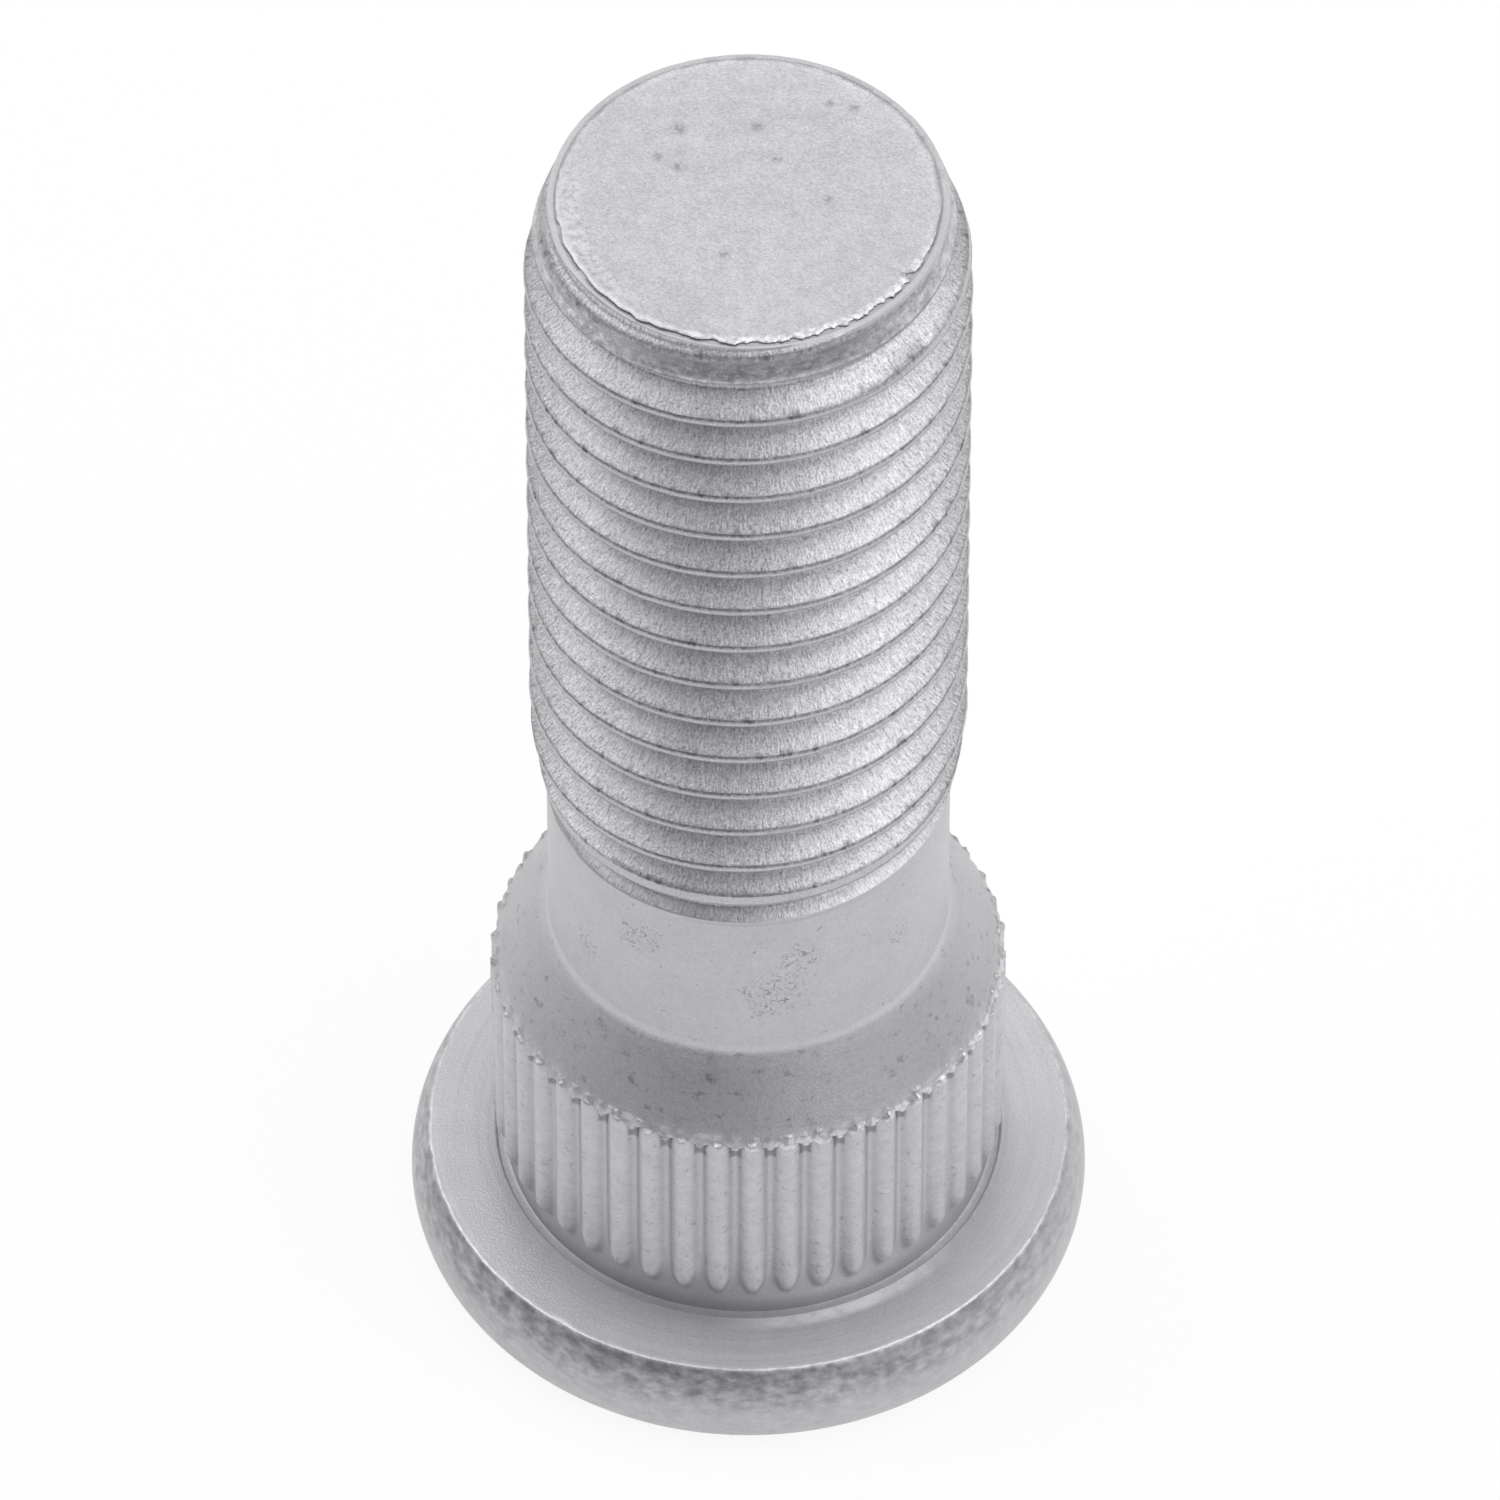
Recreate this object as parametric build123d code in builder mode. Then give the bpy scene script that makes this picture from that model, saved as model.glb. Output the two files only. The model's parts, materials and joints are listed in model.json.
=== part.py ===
from build123d import *
import math
import os

# Press-in wheel stud, one piece of steel: forged head, knurled collar, plain shank, rolled thread.
# Millimetres. Z runs up the axis from the underside of the head, on which the stud stands, to the
# threaded end. The origin is the centre of the underside, and the front is -Y.

# Head
head_d = 18.8
head_thickness = 3.0
widest_height = 1.4
seat_d = 17.8
base_d = 17.5

# Shallow relief in the seat round the foot of the collar
relief_width = 0.45
relief_depth = 0.08

# Knurled collar
knurl_tip_d = 14.3
knurl_depth = 0.4
knurl_count = 45
knurl_tip_width = 0.36
knurl_groove_width = 0.15
knurl_phase = 1.0
knurl_start = 0.9
collar_height = 6.9
ridge_taper = 0.55
ridge_drop = 0.22
lead_in_length = 2.25

# Thread zone, a plain cylinder at the crests: the fine helix is not cut into it. Rolling pushes the metal
# out, so the crests stand above the shank, and over the first turns they grow to their full size.
shank_length = 5.2
thread_d = 11.92
crest_rise = 0.46
run_out_length = 2.9
run_out_knee = 1.3
run_out_drop = 0.17

# Threaded end, with a slim taper to start the nut on and a small edge round the cut face
reach = 38.1
point_d = 10.76
point_taper = 15.6
end_d = 10.1
end_edge = 0.1

# Radii
head_r = head_d / 2
seat_r = seat_d / 2
base_r = base_d / 2
tip_r = knurl_tip_d / 2
root_r = tip_r - knurl_depth
relief_r = root_r + relief_width
lip_r = tip_r - ridge_drop
thread_r = thread_d / 2
shank_r = thread_r - crest_rise
run_out_r = thread_r - run_out_drop
point_r = point_d / 2
end_r = end_d / 2

# Heights above the underside of the head
seat_z = head_thickness
relief_z = seat_z - relief_depth
collar_z = seat_z + collar_height
lip_z = collar_z + ridge_taper
shank_z = lip_z + lead_in_length
thread_low_z = shank_z + shank_length
run_out_z = thread_low_z + run_out_knee
crest_z = thread_low_z + run_out_length
top_z = seat_z + reach
edge_z = top_z - end_edge
point_z = edge_z - (thread_r - point_r) / math.tan(math.radians(point_taper))


def polar(radius, angle):
    """Point at a radius and an angle in degrees from the local X axis."""
    return (radius * math.cos(math.radians(angle)), radius * math.sin(math.radians(angle)))


# One ridge of the knurl, along X, with its foot sunk in the collar and both ends tapered
ridge_low_z = seat_z + knurl_start
tip_half = math.degrees(knurl_tip_width / 2 / tip_r)
foot_half = 180 / knurl_count - math.degrees(knurl_groove_width / 2 / root_r)
foot_r = root_r - knurl_depth

with BuildPart() as ridge:
    with BuildSketch(Plane.XY.offset(ridge_low_z)):
        with BuildLine():
            ThreePointArc(polar(tip_r, -tip_half), (tip_r, 0), polar(tip_r, tip_half))
            Polyline(
                polar(tip_r, tip_half),
                polar(root_r, foot_half),
                polar(foot_r, foot_half),
                polar(foot_r, -foot_half),
                polar(root_r, -foot_half),
                polar(tip_r, -tip_half),
            )
        make_face()
    extrude(amount=lip_z - ridge_low_z)
    for end in (0, -1):
        end_face = ridge.faces().sort_by(Axis.Z)[end]
        tip_edge = end_face.edges().filter_by(GeomType.CIRCLE)
        chamfer(tip_edge, length=ridge_drop, length2=ridge_taper, reference=end_face)

with BuildPart() as stud:
    # Turned blank, from its half section
    with BuildSketch(Plane.XZ):
        with BuildLine():
            Line((0, 0), (base_r, 0))
            TangentArc((head_r, widest_height), (base_r, 0), tangent=(0, -1))
            TangentArc((head_r, widest_height), (seat_r, seat_z), tangent=(0, 1))
            Polyline(
                (seat_r, seat_z),
                (relief_r, seat_z),
                (relief_r, relief_z),
                (root_r, relief_z),
                (root_r, collar_z),
                (lip_r, lip_z),
                (shank_r, shank_z),
                (shank_r, thread_low_z),
                (run_out_r, run_out_z),
                (thread_r, crest_z),
                (thread_r, point_z),
                (point_r, edge_z),
                (end_r, top_z),
                (0, top_z),
                (0, 0),
            )
        make_face()
    revolve(axis=Axis.Z)

    # Knurl
    with PolarLocations(0, knurl_count, start_angle=knurl_phase - 90):
        add(ridge.part)

stud.part.label = "wheel_stud"
os.makedirs("parts", exist_ok=True)
export_step(stud.part, "parts/wheel_stud.step")
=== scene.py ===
"""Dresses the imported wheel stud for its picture.

The stud is one piece of coated steel, so one closed mesh takes the place of its CAD solid: a forged head, a
knurled collar, a plain shank and a rolled thread. Sizes are in millimetres until the finished mesh is scaled to
the frame.
"""

from __future__ import annotations

import json
import logging
import math
from collections.abc import Iterator
from contextlib import contextmanager
from dataclasses import dataclass
from enum import Enum
from functools import reduce
from itertools import pairwise
from operator import add
from typing import Any

import bpy
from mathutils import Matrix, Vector, noise

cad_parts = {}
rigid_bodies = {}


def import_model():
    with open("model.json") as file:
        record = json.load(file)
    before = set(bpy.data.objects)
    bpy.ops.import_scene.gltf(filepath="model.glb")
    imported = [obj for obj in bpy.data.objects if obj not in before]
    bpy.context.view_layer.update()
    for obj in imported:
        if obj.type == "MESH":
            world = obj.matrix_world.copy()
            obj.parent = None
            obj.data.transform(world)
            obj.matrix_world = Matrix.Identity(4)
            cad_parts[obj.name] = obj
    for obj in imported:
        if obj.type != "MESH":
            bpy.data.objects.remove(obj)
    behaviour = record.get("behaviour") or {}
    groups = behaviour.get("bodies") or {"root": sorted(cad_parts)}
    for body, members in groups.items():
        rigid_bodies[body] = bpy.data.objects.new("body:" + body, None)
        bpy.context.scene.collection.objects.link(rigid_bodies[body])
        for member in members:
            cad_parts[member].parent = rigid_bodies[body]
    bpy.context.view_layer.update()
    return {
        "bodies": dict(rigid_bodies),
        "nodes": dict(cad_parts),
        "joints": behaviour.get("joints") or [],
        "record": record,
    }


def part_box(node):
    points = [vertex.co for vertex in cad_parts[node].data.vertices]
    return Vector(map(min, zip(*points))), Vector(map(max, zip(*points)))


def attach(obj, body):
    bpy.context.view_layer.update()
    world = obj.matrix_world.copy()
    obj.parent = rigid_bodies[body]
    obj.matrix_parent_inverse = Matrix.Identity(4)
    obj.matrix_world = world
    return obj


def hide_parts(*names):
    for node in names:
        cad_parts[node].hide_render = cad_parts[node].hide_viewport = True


LOG = logging.getLogger("wheel_stud")
MM = 0.001
MERGE_GAP = 0.0005

Piece = bpy.types.Object
Point = tuple[float, float]
Colour = tuple[float, float, float, float]


def ramp(value: float, low: float, high: float) -> float:
    """Eases from 0 at low to 1 at high, which may lie below low."""
    share = min(max((value - low) / (high - low), 0.0), 1.0)
    return share * share * (3.0 - 2.0 * share)


def along(points: list[Point], height: float) -> float:
    """Reads a radius off a line of (height, radius) points.

    Args:
        points: The line, lowest point first.
        height: Where to read it.

    Returns:
        The radius there, held at the line's ends beyond them.
    """
    for (low_z, low_r), (high_z, high_r) in pairwise(points):
        if height <= high_z:
            return low_r + (high_r - low_r) * max(height - low_z, 0.0) / (high_z - low_z)
    return points[-1][1]


def bulge(widest: Point, end: Point, steps: int) -> list[Point]:
    """Follows the arc that leaves the widest point upright and meets the end point.

    Args:
        widest: Radius and height of the widest point.
        end: Radius and height of the arc's end.
        steps: How many straight runs stand for the arc.

    Returns:
        The arc's points from widest to end, both included.
    """
    inward, rise = widest[0] - end[0], end[1] - widest[1]
    radius = (inward**2 + rise**2) / (2.0 * inward)
    sweep = math.asin(abs(rise) / radius)
    turn = math.copysign(sweep, rise) / steps
    return [
        (widest[0] - radius * (1.0 - math.cos(turn * n)), widest[1] + radius * math.sin(turn * n))
        for n in range(steps + 1)
    ]


def unevenness(place: Vector, grain: float, layer: float) -> float:
    """Reads a smooth random number from 0 to 1 at a point's angle round the axis; layer picks the pattern."""
    direction = Vector((place.x, place.y, 0.0)).normalized() / grain
    return 0.5 + 0.5 * noise.noise(direction + Vector((0.0, 0.0, layer)))


def spot(place: Vector, angle: float, width: float) -> float:
    """Is 1 at an angle in degrees from the front towards +X, and falls to 0 a width to either side of it."""
    away = abs((math.degrees(math.atan2(place.x, -place.y)) - angle + 180.0) % 360.0 - 180.0)
    return ramp(away, width, 0.0)


def moved(place: Vector, radius: float, height: float) -> Vector:
    """Puts a point at another radius and height, at the same angle round the axis."""
    scale = radius / math.hypot(place.x, place.y)
    return Vector((place.x * scale, place.y * scale, height))


@contextmanager
def editing(piece: Piece) -> Iterator[None]:
    """Opens one piece alone in edit mode, with all of it selected.

    Args:
        piece: The mesh object to edit.

    Yields:
        Nothing; edit mode ends with the block.
    """
    bpy.ops.object.select_all(action="DESELECT")
    piece.select_set(True)
    bpy.context.view_layer.objects.active = piece
    bpy.ops.object.mode_set(mode="EDIT")
    bpy.ops.mesh.select_mode(type="VERT")
    bpy.ops.mesh.select_all(action="SELECT")
    yield
    bpy.ops.object.mode_set(mode="OBJECT")


def weld() -> None:
    """Merges the points of the piece in edit mode that lie together."""
    bpy.ops.mesh.select_all(action="SELECT")
    bpy.ops.mesh.remove_doubles(threshold=MERGE_GAP)


def trace(name: str, points: list[Point]) -> Piece:
    """Draws a half section as a chain of edges over the X axis.

    Args:
        name: Name of the new object.
        points: Radius and height of each point, in order.

    Returns:
        The object, whose mesh is the chain.
    """
    bpy.ops.object.select_all(action="DESELECT")
    bpy.ops.mesh.primitive_plane_add(size=1.0)
    piece = bpy.context.object
    piece.name = name
    with editing(piece):
        bpy.ops.mesh.merge(type="CENTER")
        bpy.ops.transform.translate(value=(points[0][0], 0.0, points[0][1]))
        for start, end in pairwise(points):
            step = (end[0] - start[0], 0.0, end[1] - start[1])
            bpy.ops.mesh.extrude_vertices_move(TRANSFORM_OT_translate={"value": step})
    return piece


def lathe(name: str, points: list[Point], columns: int) -> Piece:
    """Spins a half section once round the axis.

    Args:
        name: Name of the new object.
        points: Radius and height of the section's points, in order.
        columns: How many steps the turn has.

    Returns:
        The round piece, with its seam and any pole closed.
    """
    piece = trace(name, points)
    with editing(piece):
        bpy.ops.mesh.spin(steps=columns, angle=math.tau, center=(0, 0, 0), axis=(0, 0, 1))
        weld()
    return piece


def join(pieces: list[Piece]) -> Piece:
    """Joins pieces into the first of them.

    Args:
        pieces: The pieces that become one object.

    Returns:
        The joined piece.
    """
    bpy.ops.object.select_all(action="DESELECT")
    for piece in pieces:
        piece.select_set(True)
    bpy.context.view_layer.objects.active = pieces[0]
    bpy.ops.object.join()
    return pieces[0]


def select_rim(piece: Piece, low: float, high: float, shortest: float = 0.0) -> None:
    """Selects the open edges of the piece in edit mode that lie between two heights.

    Args:
        piece: The piece that is being edited.
        low: Lowest height.
        high: Greatest height.
        shortest: Least length of an edge that is selected.
    """
    bpy.ops.mesh.select_all(action="DESELECT")
    bpy.ops.mesh.select_mode(type="EDGE")
    bpy.ops.mesh.select_non_manifold(
        extend=False,
        use_wire=False,
        use_boundary=True,
        use_multi_face=False,
        use_non_contiguous=False,
        use_verts=False,
    )
    bpy.ops.object.mode_set(mode="OBJECT")
    mesh = piece.data
    for edge in mesh.edges:
        if edge.select:
            start, end = (mesh.vertices[index].co for index in edge.vertices)
            within = low <= min(start.z, end.z) and max(start.z, end.z) <= high
            edge.select = within and (end - start).length >= shortest
    for vertex in mesh.vertices:
        vertex.select = False
    for polygon in mesh.polygons:
        polygon.select = False
    bpy.ops.object.mode_set(mode="EDIT")


@dataclass(frozen=True)
class StudSizes:
    """Main sizes of the stud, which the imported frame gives."""

    head_r: float
    top_z: float
    seat_z: float
    tip_r: float
    thread_r: float

    @classmethod
    def from_frame(cls, frame: dict) -> StudSizes:
        """Reads the sizes off the CAD box and the record's mounts.


        Returns:
            The sizes in millimetres.
        """
        _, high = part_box("wheel_stud")
        mounts = {mount["name"]: mount for mount in frame["record"]["mounts"]}
        return cls(
            head_r=high.x / MM,
            top_z=high.z / MM,
            seat_z=mounts["head_seat"]["pos_m"][2] / MM,
            tip_r=mounts["knurl"]["dims"]["r_mm"],
            thread_r=mounts["thread"]["dims"]["r_mm"],
        )


@dataclass
class Head:
    """Forged head: flat underside, rounded rim, flat seat, and the neck that rises to the collar."""

    sizes: StudSizes
    columns: int
    base_r: float = 8.75
    widest_z: float = 1.4
    seat_r: float = 8.9
    edge_round: float = 0.035
    relief_r: float = 7.03
    relief_depth: float = 0.08
    neck_r: float = 6.75
    neck_height: float = 0.6
    arc_steps: int = 9
    wear_depth: float = 0.035
    wear_grain: float = 0.03
    nick_depth: float = 0.05
    nick_angle: float = -36.0
    nick_width: float = 1.6

    @property
    def neck_z(self) -> float:
        """Height at which the neck meets the collar."""
        return self.sizes.seat_z + self.neck_height

    def profile(self) -> list[Point]:
        """Draws the half section from the centre of the underside up to the collar.

        Returns:
            Radius and height of its points.
        """
        seat_z = self.sizes.seat_z
        widest = (self.sizes.head_r, self.widest_z)
        lower = bulge(widest, (self.base_r, 0.0), self.arc_steps)
        upper = bulge(widest, (self.seat_r, seat_z), self.arc_steps)
        steps = [(0.2, -0.7), (-0.3, -0.15), (-1.0, 0.0), (-3.0, 0.0), (-6.0, 0.0)]
        edge = [(self.seat_r + out * self.edge_round, seat_z + up * self.edge_round) for out, up in steps]
        floor_z = seat_z - self.relief_depth
        neck = [
            (self.relief_r + 0.06, seat_z),
            (self.relief_r + 0.02, seat_z - 0.004),
            (self.relief_r, seat_z - 0.02),
            (self.relief_r - 0.04, floor_z),
            (self.neck_r + 0.08, floor_z),
            (self.neck_r + 0.02, floor_z + 0.02),
            (self.neck_r, floor_z + 0.08),
            (self.neck_r, seat_z + 0.4 * self.neck_height),
            (self.neck_r, self.neck_z),
        ]
        return [(0.0, 0.0), (0.5 * self.base_r, 0.0), *lower[::-1], *upper[1:-1], *edge, *neck]

    def build(self) -> Piece:
        """Spins the head and nicks the edge of its seat.

        Returns:
            The head, open at the neck.
        """
        piece = lathe("stud_head", self.profile(), self.columns)
        self.nick(piece)
        return piece

    def nick(self, piece: Piece) -> None:
        """Presses the seat's edge in and down by an uneven amount.

        Args:
            piece: The head.
        """
        seat_z = self.sizes.seat_z
        for vertex in piece.data.vertices:
            place = vertex.co
            radius = math.hypot(place.x, place.y)
            edge = ramp(abs(radius - self.seat_r), 0.12, 0.02) * ramp(place.z, seat_z - 0.2, seat_z)
            if edge:
                depth = self.wear_depth * ramp(unevenness(place, self.wear_grain, 2.0), 0.5, 0.8)
                depth += self.nick_depth * spot(place, self.nick_angle, self.nick_width)
                vertex.co = moved(place, radius - edge * depth, place.z - 0.7 * edge * depth)


@dataclass
class KnurledCollar:
    """Collar with a ring of ridges that bite into the hub, each with a rounded top under a torn lip."""

    sizes: StudSizes
    neck_r: float
    low_z: float
    count: int = 45
    columns_per_ridge: int = 12
    rows: int = 46
    phase: float = 1.0
    groove_r: float = 6.83
    groove_rise: float = 1.0
    tip_width: float = 0.18
    root_width: float = 0.05
    foot_z: float = 3.6
    foot_length: float = 0.85
    foot_span: float = 1.1
    shoulder_z: float = 10.4
    crown_z: float = 10.52
    crown_r: float = 7.0
    crown_span: float = 0.45
    arch: float = 0.8
    lip_z: float = 10.54
    lip_r: float = 7.1
    cone_lean: float = 0.66
    droop: float = 0.27
    cone_foot: Point = (6.88, 10.62)
    wear: float = 0.09
    wear_grain: float = 0.11
    bead_depth: float = 0.06
    bead_grain: float = 0.02
    wave_depth: float = 0.1
    wave_drop: float = 0.28
    wave_grain: float = 0.05
    shred_drop: float = 0.26
    shred_grain: float = 0.024
    cone_share: float = 0.12

    def radius(self, angle: float, height: float) -> float:
        """Radius of the collar near one ridge.

        Args:
            angle: Degrees from the ridge's middle.
            height: Height above the underside.

        Returns:
            The radius in millimetres.
        """
        half = 180.0 / self.count
        tip_half = math.degrees(0.5 * self.tip_width / self.sizes.tip_r)
        root_half = half - math.degrees(0.5 * self.root_width / self.groove_r)
        side = min(max((abs(angle) - tip_half) / (root_half - tip_half), 0.0), 1.0)
        rise = 0.3 + 0.3 * math.cos(math.pi * side) + 0.4 * (1.0 - side)
        bow = self.arch * (angle / half) ** 2
        foot = ramp(height, self.foot_z + bow, self.foot_z + self.foot_length + bow)
        floor = ramp(height, self.low_z, self.foot_z + self.groove_rise)
        groove = self.neck_r + (self.groove_r - self.neck_r) * floor
        crown = ramp(height, self.crown_z - 0.4 * bow, self.shoulder_z - bow)
        top = self.crown_r + (self.sizes.tip_r - self.crown_r) * crown
        ridge = groove + (top - groove) * rise * foot
        sag = self.droop * (angle / half) ** 2
        lip = ramp(height, self.crown_z - 0.1 - sag, self.lip_z - 0.06 - sag)
        cone = min(self.cone_foot[0] + (self.cone_foot[1] - height) * self.cone_lean, self.lip_r)
        return ridge + (cone - ridge) * lip

    def heights(self) -> list[float]:
        """Sets the rows closer together at both ends of the ridges.

        Returns:
            The rows' heights from the neck to the lip, and the last on the cone above it.
        """
        foot_rows, top_rows = self.rows // 3 - 2, self.rows // 2
        middle_rows = self.rows - 1 - foot_rows - top_rows
        foot_top, crown_low = self.foot_z + self.foot_span, self.shoulder_z - self.crown_span
        bands = [
            (self.low_z, foot_top, foot_rows),
            (foot_top, crown_low, middle_rows),
            (crown_low, self.lip_z, top_rows),
        ]
        heights = [low + (high - low) * row / rows for low, high, rows in bands for row in range(rows)]
        return [*heights, self.lip_z, self.cone_foot[1]]

    def build(self) -> Piece:
        """Shapes one ridge from a grid, copies it round the axis and tears the lip.

        Returns:
            The collar, open at the neck and at the cone.
        """
        bpy.ops.object.select_all(action="DESELECT")
        bpy.ops.mesh.primitive_grid_add(
            x_subdivisions=self.columns_per_ridge, y_subdivisions=self.rows, size=1.0
        )
        piece = bpy.context.object
        piece.name = "stud_collar"
        heights = self.heights()
        pitch = 360.0 / self.count
        for vertex in piece.data.vertices:
            angle = vertex.co.x * pitch
            height = heights[round((vertex.co.y + 0.5) * self.rows)]
            radius = self.radius(angle, height) if height <= self.lip_z else self.cone_foot[0]
            turn = math.radians(angle)
            vertex.co = (radius * math.cos(turn), radius * math.sin(turn), height)
        with editing(piece):
            bpy.ops.mesh.spin(
                steps=self.count - 1,
                angle=math.tau * (self.count - 1) / self.count,
                center=(0, 0, 0),
                axis=(0, 0, 1),
                dupli=True,
            )
            weld()
            bpy.ops.transform.rotate(
                value=-math.radians(self.phase - 90.0), orient_axis="Z", center_override=(0.0, 0.0, 0.0)
            )
        self.tear(piece)
        return piece

    def tear(self, piece: Piece) -> None:
        """Wears each ridge a little differently and tears the lip.

        Args:
            piece: The collar.
        """
        for vertex in piece.data.vertices:
            place = vertex.co
            radius = math.hypot(place.x, place.y)
            tops = ramp(radius, self.groove_r + 0.1, self.sizes.tip_r)
            worn = self.wear * unevenness(place, self.wear_grain, 7.0) * tops
            share = ramp(place.z, self.crown_z - 0.14 - self.droop, self.lip_z - 0.05)
            if place.z > self.lip_z + 0.01:
                share = self.cone_share
            beads = unevenness(place, self.bead_grain, 0.0) - 0.5
            waves = unevenness(place, self.wave_grain, 4.0) - 0.5
            shreds = unevenness(place, self.shred_grain, 9.0) - 0.5
            inward = worn + share * (self.bead_depth * beads + self.wave_depth * waves)
            down = share * (self.wave_drop * waves + self.shred_drop * shreds)
            vertex.co = moved(place, radius - inward, place.z - down)


@dataclass
class Shank:
    """Lead-in cone above the collar and the plain shank up to the thread."""

    columns: int
    low: Point
    shank_r: float = 5.5
    cone_top_z: float = 12.7
    fillet: float = 0.8
    fillet_steps: int = 6
    thread_low_z: float = 17.9
    edge_clearance: float = 0.05
    rows: int = 4

    def profile(self) -> list[Point]:
        """Draws the half section from the collar's lip to just under the thread.

        Returns:
            Radius and height of its points.
        """
        lean = math.atan2(self.low[0] - self.shank_r, self.cone_top_z - self.low[1])
        reach = self.fillet * math.tan(0.5 * lean)
        centre = (self.shank_r + self.fillet, self.cone_top_z + reach)
        turns = [lean * n / self.fillet_steps for n in range(self.fillet_steps, -1, -1)]
        arc = [
            (centre[0] - self.fillet * math.cos(turn), centre[1] - self.fillet * math.sin(turn))
            for turn in turns
        ]
        cone = [
            tuple(start + (end - start) * n / self.rows for start, end in zip(self.low, arc[0], strict=True))
            for n in range(1, self.rows)
        ]
        foot, top = arc[-1][1], self.thread_low_z - self.edge_clearance
        plain = [(self.shank_r, foot + (top - foot) * n / self.rows) for n in range(1, self.rows + 1)]
        return [self.low, *cone, *arc, *plain]

    def build(self) -> Piece:
        """Spins the cone and the shank."""
        return lathe("stud_shank", self.profile(), self.columns)


@dataclass
class RolledThread:
    """Right-hand thread rolled into the shank, with its run-out below and its tapered end above."""

    sizes: StudSizes
    shank_r: float
    low_z: float
    pitch: float = 1.5
    depth: float = 0.78
    front_crest_z: float = 20.8
    crest_flat: float = 0.25
    foot_share: float = 0.38
    root_share: float = 0.42
    seam_depth: float = 0.072
    seam_wear: float = 0.03
    columns: int = 200
    run_out_length: float = 2.9
    taper_low_z: float = 38.9
    taper_high: Point = (5.29, 40.98)
    fine_turns: tuple[int, int] = (2, 3)
    plain_rows: tuple[float, ...] = (0.0, 0.1, 0.9, 1.0)
    fine_rows: tuple[float, ...] = (0.0, 0.1, 0.3, 0.5, 0.7, 0.9, 1.0)

    @property
    def flank_lean(self) -> float:
        """How far a flank runs along the axis for each millimetre of depth."""
        return self.foot_share * self.pitch / self.depth - 0.5 * self.crest_flat / self.depth

    def profile(self, flank_rows: tuple[float, ...]) -> list[Point]:
        """One pitch of the thread, from root to root, as radius and height over the crest's middle.

        Args:
            flank_rows: Where each flank has its points, as shares of the way up from the root.

        Returns:
            The points from the lower root over the crest to the upper root.
        """
        crest, root = self.sizes.thread_r, self.sizes.thread_r - self.depth
        half, edge = 0.5 * self.pitch, 0.5 * self.crest_flat
        foot, head = (root + 0.07, self.foot_share * self.pitch), (crest - 0.04, edge + 0.01)
        flank = [
            (foot[0] + (head[0] - foot[0]) * share, foot[1] + (head[1] - foot[1]) * share)
            for share in flank_rows
        ]
        side = [(root, half), (root + 0.02, self.root_share * self.pitch), *flank]
        crown = [(crest, -0.5 * edge), (crest - 0.014, 0.1 * edge), (crest - 0.042, 0.6 * edge)]
        seam = [(crest - self.seam_depth, 0.85 * edge)]
        return [*[(radius, -height) for radius, height in side], *crown, *seam, *side[::-1]]

    def envelope(self) -> list[Point]:
        """Draws the greatest radius at each height: the run-out, the full crests and the taper.

        Returns:
            Height and radius of the line's points, lowest first.
        """
        knee_r = self.shank_r + 0.5 * (self.sizes.thread_r - self.shank_r)
        return [
            (self.low_z, self.shank_r),
            (self.low_z + 0.45 * self.run_out_length, knee_r),
            (self.low_z + self.run_out_length, self.sizes.thread_r),
            (self.taper_low_z, self.sizes.thread_r),
            (self.taper_high[1], self.taper_high[0]),
        ]

    def wind(self, crest_z: float, turns: int, flank_rows: tuple[float, ...]) -> Piece:
        """Winds some turns of the thread, one below the other.

        Args:
            crest_z: Height of the first turn's crest where the winding starts.
            turns: How many turns to make.
            flank_rows: Where each flank has its points.

        Returns:
            The band of thread.
        """
        section = [(radius, height + crest_z) for radius, height in self.profile(flank_rows)]
        piece = trace("stud_thread", section)
        with editing(piece):
            bpy.ops.mesh.screw(steps=self.columns, turns=1, center=(0, 0, 0), axis=(0, 0, -1))
        copies = piece.modifiers.new("turns", "ARRAY")
        copies.count = turns
        copies.use_relative_offset = False
        copies.use_constant_offset = True
        copies.constant_offset_displace = (0.0, 0.0, -self.pitch)
        bpy.ops.object.modifier_apply(modifier=copies.name)
        return piece

    def build(self) -> Piece:
        """Winds the thread down the axis, fine at both ends, and trims it to its envelope.

        Returns:
            The thread, open at both ends.
        """
        crest_z = self.front_crest_z + 0.25 * self.pitch
        while crest_z - 0.5 * self.pitch < self.sizes.top_z:
            crest_z += self.pitch
        turns = math.ceil((crest_z - self.low_z) / self.pitch) + 1
        upper, lower = self.fine_turns
        piece = join(
            [
                self.wind(crest_z, upper, self.fine_rows),
                self.wind(crest_z - upper * self.pitch, turns - upper - lower, self.plain_rows),
                self.wind(crest_z - (turns - lower) * self.pitch, lower, self.fine_rows),
            ]
        )
        with editing(piece):
            weld()
            select_rim(piece, 0.0, crest_z + self.pitch, shortest=0.5 * self.depth)
            bpy.ops.mesh.subdivide(number_cuts=len(self.fine_rows) - len(self.plain_rows))
            weld()
            for height in (self.low_z, self.taper_high[1]):
                below = height == self.low_z
                bpy.ops.mesh.select_all(action="SELECT")
                bpy.ops.mesh.bisect(
                    plane_co=(0, 0, height), plane_no=(0, 0, 1), clear_inner=below, clear_outer=not below
                )
        self.trim(piece)
        return piece

    def trim(self, piece: Piece) -> None:
        """Keeps the thread inside its envelope and outside the run-out's floor, and breaks up its seam.

        Args:
            piece: The thread.
        """
        limit = self.envelope()
        for vertex in piece.data.vertices:
            place = vertex.co
            radius = math.hypot(place.x, place.y)
            floor = self.shank_r - (place.z - self.low_z)
            wanted = min(max(radius, floor), along(limit, place.z))
            if radius > self.sizes.thread_r - 1.1 * self.seam_depth:
                wanted -= self.seam_wear * unevenness(place, 0.04, 3.0 * place.z)
            vertex.co = moved(place, wanted, place.z)


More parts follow.
